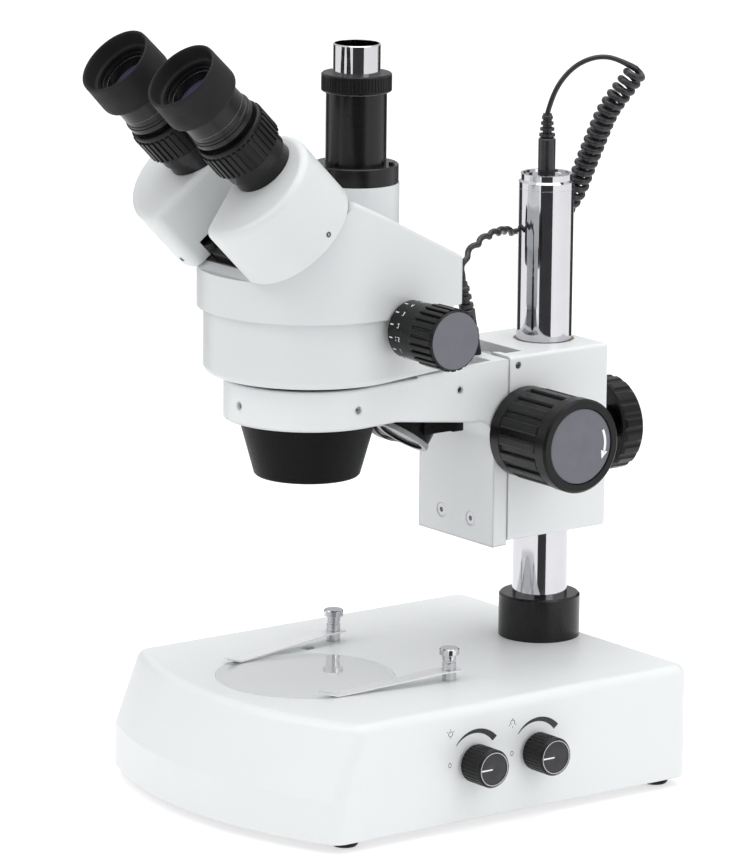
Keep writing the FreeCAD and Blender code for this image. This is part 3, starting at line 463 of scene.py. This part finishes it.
COIL_PITCH = 4.9 * MM
TAIL_STRAND = 3.3 * MM
TAIL_PITCH = 13 * MM
TAIL_SWAY = 0.9 * MM
TAIL_CUTS = (0.30, 0.60)


def route_line(route, spacing):
    """Points along the route's NURBS spline, evenly spaced."""
    curve = bpy.data.curves.new("route", "CURVE")
    curve.dimensions = "3D"
    spline = curve.splines.new("NURBS")
    spline.points.add(len(route) - 1)
    for point, place in zip(spline.points, route):
        point.co = (*place, 1)
    spline.order_u = 3
    spline.use_endpoint_u = True
    spline.resolution_u = 24
    holder = bpy.data.objects.new("route", curve)
    data = bpy.data.meshes.new_from_object(holder)
    raw = [v.co.copy() for v in data.vertices]
    bpy.data.objects.remove(holder)
    bpy.data.curves.remove(curve)
    bpy.data.meshes.remove(data)
    lengths = [0.0]
    for a, b in zip(raw, raw[1:]):
        lengths.append(lengths[-1] + (b - a).length)
    count = max(2, round(lengths[-1] / spacing))
    line, index = [], 0
    for step in range(count + 1):
        target = lengths[-1] * step / count
        while index < len(raw) - 2 and lengths[index + 1] < target:
            index += 1
        span = lengths[index + 1] - lengths[index]
        line.append(raw[index].lerp(raw[index + 1], (target - lengths[index]) / span if span else 0))
    return line


def carried_frames(line):
    """A normal at each point, carried along the line without twisting."""
    last = len(line) - 1
    tangents = [(line[min(i + 1, last)] - line[max(i - 1, 0)]).normalized() for i in range(last + 1)]
    normal = tangents[0].orthogonal().normalized()
    normals = []
    for tangent in tangents:
        normal = (normal - tangent * tangent.dot(normal)).normalized()
        normals.append(normal)
    return tangents, normals


def tube(name, line, radius_at, material, body, sides=20):
    tangents, normals = carried_frames(line)
    points, faces = [], []
    for i, (place, tangent, normal) in enumerate(zip(line, tangents, normals)):
        other = tangent.cross(normal)
        radius = radius_at(i / (len(line) - 1))
        for side in range(sides):
            angle = 2 * math.pi * side / sides
            points.append(place + (normal * math.cos(angle) + other * math.sin(angle)) * radius)
    for i in range(len(line) - 1):
        for side in range(sides):
            a, b = i * sides + side, i * sides + (side + 1) % sides
            faces.append((a, b, b + sides, a + sides))
    faces.append(tuple(reversed(range(sides))))
    faces.append(tuple(range((len(line) - 1) * sides, len(line) * sides)))
    return mesh_piece(name, points, faces, material, body)


def helix_on(line, pitch, radius_at, phase):
    """Wind a helix round a line, from points spaced evenly along it."""
    tangents, normals = carried_frames(line)
    wound, travelled = [], 0.0
    for i, place in enumerate(line):
        if i:
            travelled += (place - line[i - 1]).length
        angle = phase + 2 * math.pi * travelled / pitch
        other = tangents[i].cross(normals[i])
        offset = normals[i] * math.cos(angle) + other * math.sin(angle)
        wound.append(place + offset * radius_at(i / (len(line) - 1)))
    return wound


def ease(value):
    value = max(0.0, min(1.0, value))
    return value * value * (3 - 2 * value)


def make_cord():
    """The lead, its coil, and the stretched tail in three lengths, one for each joint it crosses."""
    turn_radius = (COIL_OUTER - COIL_STRAND) / 2
    coil_line = route_line(COIL_ROUTE, 0.16 * MM)
    coil_path = helix_on(coil_line, COIL_PITCH, lambda t: turn_radius * min(1.0, 0.35 + ease(t / 0.02) * 0.65,
                                                                            0.12 + ease((1 - t) / 0.05)), 1.2)
    lead_line = route_line(LEAD_ROUTE[:-1] + [tuple(coil_path[0])], 0.8 * MM)
    lead = tube("lamp_lead", lead_line, lambda t: LEAD_WIDTH / 2 * (1 + 0.3 * ease((t - 0.8) / 0.2)),
                CORD, "stand")
    coil = tube("lamp_cord_coil", coil_path, lambda t: COIL_STRAND / 2 * (0.85 + 0.15 * ease(t / 0.01)), CORD,
                "stand", sides=14)
    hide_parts("cord_lead")
    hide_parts("cord_coil")
    tail_line = route_line([tuple(coil_path[-1])] + TAIL_ROUTE[1:], 0.3 * MM)
    tail_path = helix_on(tail_line, TAIL_PITCH,
                         lambda t: TAIL_SWAY * min(ease(t / 0.1), ease((1 - t) / 0.12)), 0.4)
    cuts = [0] + [round(len(tail_path) * share) for share in TAIL_CUTS] + [len(tail_path) - 1]
    joints = [("stand", "height_bush"), ("height_bush", "focus_body"), ("focus_body", "carriage")]
    for index, (a, b) in enumerate(joints):
        part = tail_path[cuts[index]:cuts[index + 1] + 1]
        piece = tube(f"lamp_cord_tail_{index + 1}", part, lambda t: TAIL_STRAND / 2, CORD, None, sides=16)
        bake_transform(piece)
    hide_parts("cord_tail")


# Details on the stand

PRINT_DEPTH = 0.06 * MM
PRINT_SINK = 0.02 * MM


def side_place(y, z):
    """On the base's right flank, level with it: first axis +Y, second +Z, outwards along +X."""
    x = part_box("base_housing")[1].x
    return frame_on((x - PRINT_SINK, y, z), X, Y)


def bulb_icon(name, place, up):
    """A small lamp symbol: ring, cap and three rays."""
    ring = arc_outline((1.15 * MM,) * 2, (1.5 * MM,) * 2, -50, 230)
    parts = [slab(name + "_ring", ring, place, PRINT_DEPTH, INK, "stand")]
    for low, high, half in ((-1.4, -1.1, 0.75), (-2.1, -1.8, 0.55)):
        cap = scaled([(-half, up * low), (half, up * low), (half, up * high), (-half, up * high)])
        parts.append(slab(name + "_cap", cap, place, PRINT_DEPTH, INK, "stand"))
    for angle in (30, 90, 150):
        turn = math.radians(angle)
        along = Vector((math.cos(turn), up * math.sin(turn)))
        across = Vector((-along.y, along.x)) * 0.16
        corners = [along * 2.0 - across, along * 2.8 - across, along * 2.8 + across, along * 2.0 + across]
        ray = scaled([tuple(corner) for corner in corners])
        parts.append(slab(name + "_ray", ray, place, PRINT_DEPTH, INK, "stand"))
    return joined(parts, name)


def dimmer_details(node, body, up):
    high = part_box(node)[1]
    middle = centre(node)
    wedge = arc_outline((15.4 * MM, 15.6 * MM), (15.8 * MM, 19.3 * MM), 138, 38)
    slab(node + "_wedge", wedge, side_place(middle.y, middle.z), PRINT_DEPTH, INK, "stand")
    zero = side_place(middle.y - 15.6 * MM, middle.z + 0.6 * MM)
    slab(node + "_zero", [(0.75 * x, y) for x, y in arc_outline((1.0 * MM,) * 2, (1.35 * MM,) * 2, 0, 359.9)],
         zero, PRINT_DEPTH, INK, "stand")
    bulb_icon(node + "_bulb", side_place(middle.y - 15.4 * MM, middle.z + 17.3 * MM), up)
    face = frame_on((high.x, middle.y, middle.z), X, Y)
    disc = spun_black(node + "_spun", (high.x, middle.y, middle.z))
    profile = rounded(scaled([(0.01, -0.6), (8.3, -0.6), (8.3, -0.22), (0.01, -0.22)]), 0.08 * MM, 2)
    lathe(node + "_face", profile, face, disc, body)
    rim = rounded(scaled([(8.45, -0.5), (9.0, -0.5), (9.0, 0.02), (8.45, 0.02)]), 0.15 * MM, 3)
    lathe(node + "_rim", rim, face, STEEL, body)
    pointer = scaled([(-8.1, -0.42), (-1.0, -0.34), (-1.0, 0.34), (-8.1, 0.42)])
    slab(node + "_pointer", pointer, face @ Matrix.Translation((0, 0, -0.24 * MM)), 0.1 * MM, WHITE_INK, body)


def glass_rim():
    """The ground edge of the glass plate, greener than its face."""
    low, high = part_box("stage_plate")
    radius = (high.x - low.x) / 2
    place = frame_on((0, 0, high.z), Z, X)
    profile = rounded([(radius - 0.9 * MM, -0.7 * MM), (radius - 0.02 * MM, -0.7 * MM),
                       (radius - 0.02 * MM, 0.06 * MM), (radius - 0.7 * MM, 0.06 * MM)], 0.12 * MM, 2)
    lathe("stage_plate_rim", profile, place, GREEN_EDGE, "stand", steps=160)


def socket_screw(name, place, radius, material, body):
    """A small button head with its hexagon socket. The socket's floor is a black hexagon of painted shade."""
    profile = rounded([(0.42 * radius, -0.3 * MM), (radius, -0.3 * MM), (radius, 0.35 * MM),
                       (0.6 * radius, 0.6 * MM), (0.42 * radius, 0.6 * MM)], 0.12 * MM, 2)
    head = lathe(name, profile, place, material, body, steps=36)
    hexagon = [(0.48 * radius * math.cos(math.radians(a)), 0.48 * radius * math.sin(math.radians(a)))
               for a in range(0, 360, 60)]
    # The floor of the socket is coloured with black ink: painted shade in the recess.
    slab(name + "_socket", hexagon, place @ Matrix.Translation((0, 0, -0.3 * MM)), 0.25 * MM, INK, body)
    return head


# Details on the focus block

def curved_arrow(name, place, radius, body):
    half_band = 0.75 * MM
    half_head = 2.2 * MM
    depth = 0.08 * MM
    outline = arc_outline((radius - half_band,) * 2, (radius + half_band,) * 2, 26, -16)
    band = slab(name + "_band", outline, place, depth, WHITE_INK, body)
    corners = []
    for reach, degrees in ((radius, -31), (radius + half_head, -15), (radius - half_head, -15)):
        angle = math.radians(degrees)
        corners.append((reach * math.cos(angle), reach * math.sin(angle)))
    head = slab(name + "_head", corners, place, depth, WHITE_INK, body)
    joined([band, head], name)


def focus_knob_details(side, node, body):
    low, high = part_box(node)
    middle = centre(node)
    face_x = high.x if side > 0 else low.x
    face = frame_on((face_x, middle.y, middle.z), X * side, Y * side)
    outline = scaled([(0.01, -1.6), (20.1, -1.6), (20.1, -0.75), (19.6, -0.5), (0.01, -0.45)])
    lathe(node + "_cap", rounded(outline, 0.2 * MM, 3), face, GREY_CAP, body)
    curved_arrow(node + "_arrow", face @ Matrix.Translation((0, 0, -0.47 * MM)), 16.4 * MM, body)


def block_screws():
    low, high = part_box("focus_block")
    for side in (-1, 1):
        x = high.x if side > 0 else low.x
        place = frame_on((x - side * 0.4 * MM, 0.116, high.z - 5 * MM), X * side, Y)
        socket_screw(f"block_screw_{side}", place, 1.75 * MM, DARK_STEEL, "focus_body")
        place = frame_on((side * 34.3 * MM, 0.0736, 0.2174), X * side, Y)
        socket_screw(f"arm_side_screw_{side}", place @ Matrix.Translation((0, 0, -0.9 * MM)), 1.75 * MM,
                     DARK_STEEL, "carriage")


# Details on the head

def wrapped_text(name, words, size, x, angle, radius, centre_point, side, body, material):
    """Figures that follow the round of a dial, reading along the knob's axis."""
    curve = bpy.data.curves.new(name, "FONT")
    curve.body = words
    curve.size = size
    curve.extrude = 0.00004
    curve.align_x = "CENTER"
    curve.align_y = "CENTER"
    curve.resolution_u = 3
    holder = bpy.data.objects.new(name, curve)
    data = bpy.data.meshes.new_from_object(holder)
    points = [v.co.copy() for v in data.vertices]
    faces = [tuple(p.vertices) for p in data.polygons]
    bpy.data.objects.remove(holder)
    bpy.data.curves.remove(curve)
    bpy.data.meshes.remove(data)
    placed = []
    for point in points:
        turn = angle - side * point.y / radius
        reach = radius + point.z
        placed.append(Vector((x + side * point.x, centre_point.y - reach * math.cos(turn),
                              centre_point.z + reach * math.sin(turn))))
    return mesh_piece(name, placed, faces, material, body, smooth=False)


def dial_tick(name, x0, x1, angle, half_width, radius, middle, body):
    points = []
    for reach in (radius - 0.1 * MM, radius + 0.05 * MM):
        for x, turn in ((x0, -1), (x1, -1), (x1, 1), (x0, 1)):
            spin = angle + turn * half_width / radius
            points.append((x, middle.y - reach * math.cos(spin), middle.z + reach * math.sin(spin)))
    faces = [(3, 2, 1, 0), (4, 5, 6, 7), (0, 1, 5, 4), (1, 2, 6, 5), (2, 3, 7, 6), (3, 0, 4, 7)]
    return mesh_piece(name, points, faces, WHITE_INK, body, smooth=False)


DIAL_RADIUS = 15.3 * MM
DIAL_FIGURES = ["0.7", "1", "1.5", "2", "3", "4", "4.5"]


def zoom_knob_details(side, node):
    low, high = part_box(node)
    middle = centre(node)
    radius = DIAL_RADIUS
    near = low.x if side > 0 else high.x
    far = high.x if side > 0 else low.x
    ticks = []
    for index, figure in enumerate(DIAL_FIGURES):
        angle = math.radians(-8 + 26 * (index - 2))
        x0 = near + side * 2.0 * MM
        x1 = near + side * 4.6 * MM
        ticks.append(dial_tick(f"{node}_tick_{index}", min(x0, x1), max(x0, x1), angle, 0.3 * MM, radius,
                               middle, "zoom"))
        ticks.append(wrapped_text(f"{node}_figure_{index}", figure, 3.6 * MM, near + side * 8.6 * MM, angle,
                                  radius, middle, side, "zoom", WHITE_INK))
    joined(ticks, node + "_dial")
    face = frame_on((far, middle.y, middle.z), X * side, Y)
    cap = rounded(scaled([(0.01, -0.5), (14.9, -0.5), (14.9, 0.1), (14.6, 0.2), (0.01, 0.2)]), 0.15 * MM, 3)
    lathe(node + "_cap", cap, face, GREY_CAP, "zoom")


TUBE_AXIS = Vector((0, -math.sqrt(0.5), math.sqrt(0.5)))
TUBE_ACROSS = Vector((0, math.sqrt(0.5), math.sqrt(0.5)))
EYE_ORIGIN = Vector((0, -52 * MM, 348 * MM))
EYE_X = 29.0
POD_X = 29.0
POD_Q = -11.5
POD_RADIUS = 34.0


def eye_place(x, q, s):
    """A frame in the eyepieces' own axes, from millimetres across, up and along."""
    origin = EYE_ORIGIN + X * (x * MM) + TUBE_ACROSS * (q * MM) + TUBE_AXIS * (s * MM)
    return frame_on(origin, TUBE_AXIS, X)


def eyecup(side, name):
    """A soft cup: thick foot, thin wall that flares and rolls at its lip, faint moulding steps."""
    place = eye_place(side * EYE_X, 0, 0)
    outline = scaled([(16.06, 52.1), (19.5, 52.1), (20.5, 52.9), (20.75, 54.4), (20.7, 57.0), (20.6, 62.0),
                      (20.45, 67.0), (20.4, 70.6), (20.25, 71.9), (19.8, 72.38), (19.2, 72.3), (18.8, 71.6),
                      (18.45, 70.0), (17.9, 67.5), (17.3, 65.0), (16.06, 64.05)])
    body = name.replace("eyecup", "eyepiece")
    piece = lathe(name + "_skin", rounded(outline, 0.5 * MM, 3), place, RUBBER, body, steps=128)
    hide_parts(name)


def eyepiece_details(side, word):
    body = f"{word}_eyepiece"
    place = eye_place(side * EYE_X, 0, 0)
    ring = scaled([(12.3, 59.2), (13.15, 59.2), (13.15, 60.45), (12.9, 60.7), (12.3, 60.5)])
    lathe(f"{word}_lens_ring", rounded(ring, 0.12 * MM, 2), place, DARK_STEEL, body)
    neck = scaled([(15.05, 33.7), (15.3, 33.7), (15.3, 34.3), (15.05, 34.3)])
    lathe(f"{word}_bright_neck", rounded(neck, 0.05 * MM, 1), place, CHROME, body)
    groove = scaled([(16.6, 41.9), (16.86, 41.9), (16.86, 42.2), (16.6, 42.2)])
    lathe(f"{word}_barrel_line", rounded(groove, 0.02 * MM, 1), place, DARK_STEEL, body)


def pod_screws():
    for side, word, angles in ((1, "right", (2,)), (-1, "left", (-88, 2))):
        for number, angle in enumerate(angles):
            turn = math.radians(angle)
            outward = X * (side * math.cos(turn)) + TUBE_ACROSS * math.sin(turn)
            origin = EYE_ORIGIN + X * (side * POD_X * MM) + TUBE_ACROSS * (POD_Q * MM) - TUBE_AXIS * (35 * MM)
            place = frame_on(origin + outward * (POD_RADIUS - 0.2) * MM, outward, TUBE_AXIS)
            socket_screw(f"{word}_pod_screw_{number}", place, 1.5 * MM, DARK_STEEL, f"{word}_pod")


def chassis_screw():
    place = eye_place(0, -26, -34.9)
    socket_screw("chassis_screw", place, 3.2 * MM, STEEL, "head")


def photo_port_details():
    middle = centre("photo_lock_ring")
    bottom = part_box("photo_lock_ring")[0].z
    place = frame_on((middle.x, middle.y, bottom - 0.5 * MM), Z, X)
    band = rounded(scaled([(14.05, 0.1), (16.3, 0.1), (16.3, 0.45), (14.05, 0.45)]), 0.08 * MM, 1)
    lathe("photo_port_shim", band, place, STEEL, "head")


RING_TOP_Z = 0.228


def painted_seam_shadow():
    """A painted shadow: a black ring that stands in for the shade in the gap between the arm's ring and the
    head.
    """
    place = frame_on((0, 0, RING_TOP_Z), Z, X)
    profile = scaled([(38.3, 0.1), (41.4, 0.1), (41.4, 2.9), (38.3, 2.9)])
    lathe("ring_gap_painted_shadow", rounded(profile, 0.2 * MM, 2), place, INK, "head")


LAMP_PIVOT = Vector((0, 0.0683, 0.196))
LAMP_LEAN = math.radians(34.8)
LAMP_FINS = 6


def lamp_details():
    """Ribs round the lamp's cup and the pale rim round its mouth."""
    along = Vector((0, -math.sin(LAMP_LEAN), -math.cos(LAMP_LEAN)))
    place = frame_on(LAMP_PIVOT, along, X)
    for number in range(LAMP_FINS):
        height = -1.2 + 1.5 * number
        fin = scaled([(13.9, height), (14.55, height + 0.15), (14.55, height + 0.75), (13.9, height + 0.9)])
        lathe(f"lamp_fin_{number}", rounded(fin, 0.1 * MM, 2), place, MOULDED, "upper_lamp", steps=72)
    rim = scaled([(12.42, 8.6), (15.2, 8.6), (15.2, 10.9), (14.9, 11.2), (12.42, 11.2)])
    lathe("lamp_rim", rounded(rim, 0.2 * MM, 2), place, LAMP_RIM, "upper_lamp")


# Surroundings

FLOOR_Z = -0.0003
FLOOR_HALF_WIDTH = 20
SKY_STRENGTH = 1.02
KEY_POWER = 9.0
SIDE_POWER = 6.0
TOP_POWER = 26.0
PILLAR_FOOT = Vector((0, 0.158, 0))


def make_stage():
    half = FLOOR_HALF_WIDTH
    corners = [(-half, -half, FLOOR_Z), (half, -half, FLOOR_Z), (half, half, FLOOR_Z), (-half, half, FLOOR_Z)]
    shader = Shader("floor_white")
    shader.colour((0.50, 0.50, 0.503), (0.515, 0.515, 0.517), 3).roughness(0.6, 0.7, 20)
    shader.set(Emission_Color=(1, 1, 1, 1), Emission_Strength=0.60, Specular_IOR_Level=0.2)
    material = shader.relief(40, 0.00002).material
    floor = mesh_piece("floor", corners, [(0, 1, 2, 3)], material, None, smooth=False)


def make_sky():
    """A studio dome, bright overhead and dim near the horizon."""
    world = bpy.data.worlds.new("studio")
    bpy.context.scene.world = world
    world.use_nodes = True
    nodes, links = world.node_tree.nodes, world.node_tree.links
    coords = nodes.new("ShaderNodeTexCoord")
    split = nodes.new("ShaderNodeSeparateXYZ")
    ramp = nodes.new("ShaderNodeValToRGB")
    ramp.color_ramp.elements[0].color = (0.42, 0.43, 0.45, 1)
    ramp.color_ramp.elements[1].color = (1.0, 1.0, 1.0, 1)
    ramp.color_ramp.elements[1].position = 0.75
    links.new(coords.outputs["Generated"], split.inputs[0])
    links.new(split.outputs["Z"], ramp.inputs["Fac"])
    links.new(ramp.outputs["Color"], nodes["Background"].inputs["Color"])
    nodes["Background"].inputs["Strength"].default_value = SKY_STRENGTH


def area_light(name, place, aim, size, power):
    data = bpy.data.lights.new(name, "AREA")
    data.shape = "RECTANGLE"
    data.size, data.size_y = size
    data.energy = power
    lamp = bpy.data.objects.new(name, data)
    bpy.context.collection.objects.link(lamp)
    lamp.location = place
    lamp.rotation_euler = (Vector(aim) - Vector(place)).to_track_quat("-Z", "Y").to_euler()


def reflected_card(name, bearing, width, low, high, distance, material):
    """A card round the set that only the shiny surfaces see, at a bearing from the camera's."""
    turn = AZIMUTH - math.radians(bearing)
    outward = Vector((math.sin(turn), -math.cos(turn), 0))
    across = Vector((math.cos(turn), math.sin(turn), 0))
    foot = PILLAR_FOOT + outward * distance
    half = distance * math.tan(math.radians(width / 2))
    corners = [foot - across * half + Z * low, foot + across * half + Z * low,
               foot + across * half + Z * high, foot - across * half + Z * high]
    card = mesh_piece(name, corners, [(0, 1, 2, 3)], material, None, smooth=False)
    card.visible_camera = False
    card.visible_diffuse = False
    card.visible_transmission = False
    card.visible_shadow = False


def make_cards():
    dark = printed("card_black", (0.012, 0.012, 0.013))
    reflected_card("card_front", -2, 50, 0.0, 0.6, 0.9, dark)
    reflected_card("card_low", -6, 34, 0.0, 0.09, 0.36, dark)
    reflected_card("card_left", -146, 40, 0.0, 0.4, 0.9, dark)
    reflected_card("card_right", 132, 30, 0.0, 0.4, 0.9, dark)


def make_lights():
    middle = (0, 0.05, 0.2)
    area_light("key", (-0.7, -1.9, 1.9), middle, (1.4, 1.2), KEY_POWER)
    area_light("side", (2.1, 0.3, 1.2), middle, (1.2, 1.4), SIDE_POWER)
    area_light("top", (0.1, 0.3, 2.4), middle, (2.2, 2.2), TOP_POWER)


# Camera

AZIMUTH = math.radians(52.58)
ELEVATION = math.radians(12.41)
ROLL = math.radians(0.64)
DISTANCE = 3.18235
AIM = Vector((-0.00439, 0.04994, 0.18981))
FOCAL_LENGTH = 249.74


def make_camera():
    data = bpy.data.cameras.new("camera")
    data.sensor_width = 36.0
    data.lens = FOCAL_LENGTH
    data.clip_end = 50
    camera = bpy.data.objects.new("camera", data)
    bpy.context.collection.objects.link(camera)
    back = Vector((math.sin(AZIMUTH) * math.cos(ELEVATION), -math.cos(AZIMUTH) * math.cos(ELEVATION),
                   math.sin(ELEVATION)))
    right = Vector((math.cos(AZIMUTH), math.sin(AZIMUTH), 0))
    up = back.cross(right)
    rolled_right = right * math.cos(ROLL) + up * math.sin(ROLL)
    rolled_up = up * math.cos(ROLL) - right * math.sin(ROLL)
    place = AIM + back * DISTANCE
    rows = [(rolled_right[i], rolled_up[i], back[i], place[i]) for i in range(3)]
    camera.matrix_world = Matrix(rows + [(0, 0, 0, 1)])
    bpy.context.scene.camera = camera
    bpy.context.scene.view_settings.view_transform = "Standard"


make_camera()
make_stage()
make_lights()
make_sky()
make_cards()
finish_nodes()
make_cord()
dimmer_details("front_dimmer_knob", "front_dimmer", 1)
dimmer_details("rear_dimmer_knob", "rear_dimmer", -1)
glass_rim()
focus_knob_details(1, "right_focus_knob", "tension_knob")
focus_knob_details(-1, "left_focus_knob", "focus_pinion")
block_screws()
zoom_knob_details(1, "right_zoom_knob")
zoom_knob_details(-1, "left_zoom_knob")
for side, word in ((1, "right"), (-1, "left")):
    eyecup(side, word + "_eyecup")
    eyepiece_details(side, word)
pod_screws()
chassis_screw()
photo_port_details()
painted_seam_shadow()
lamp_details()
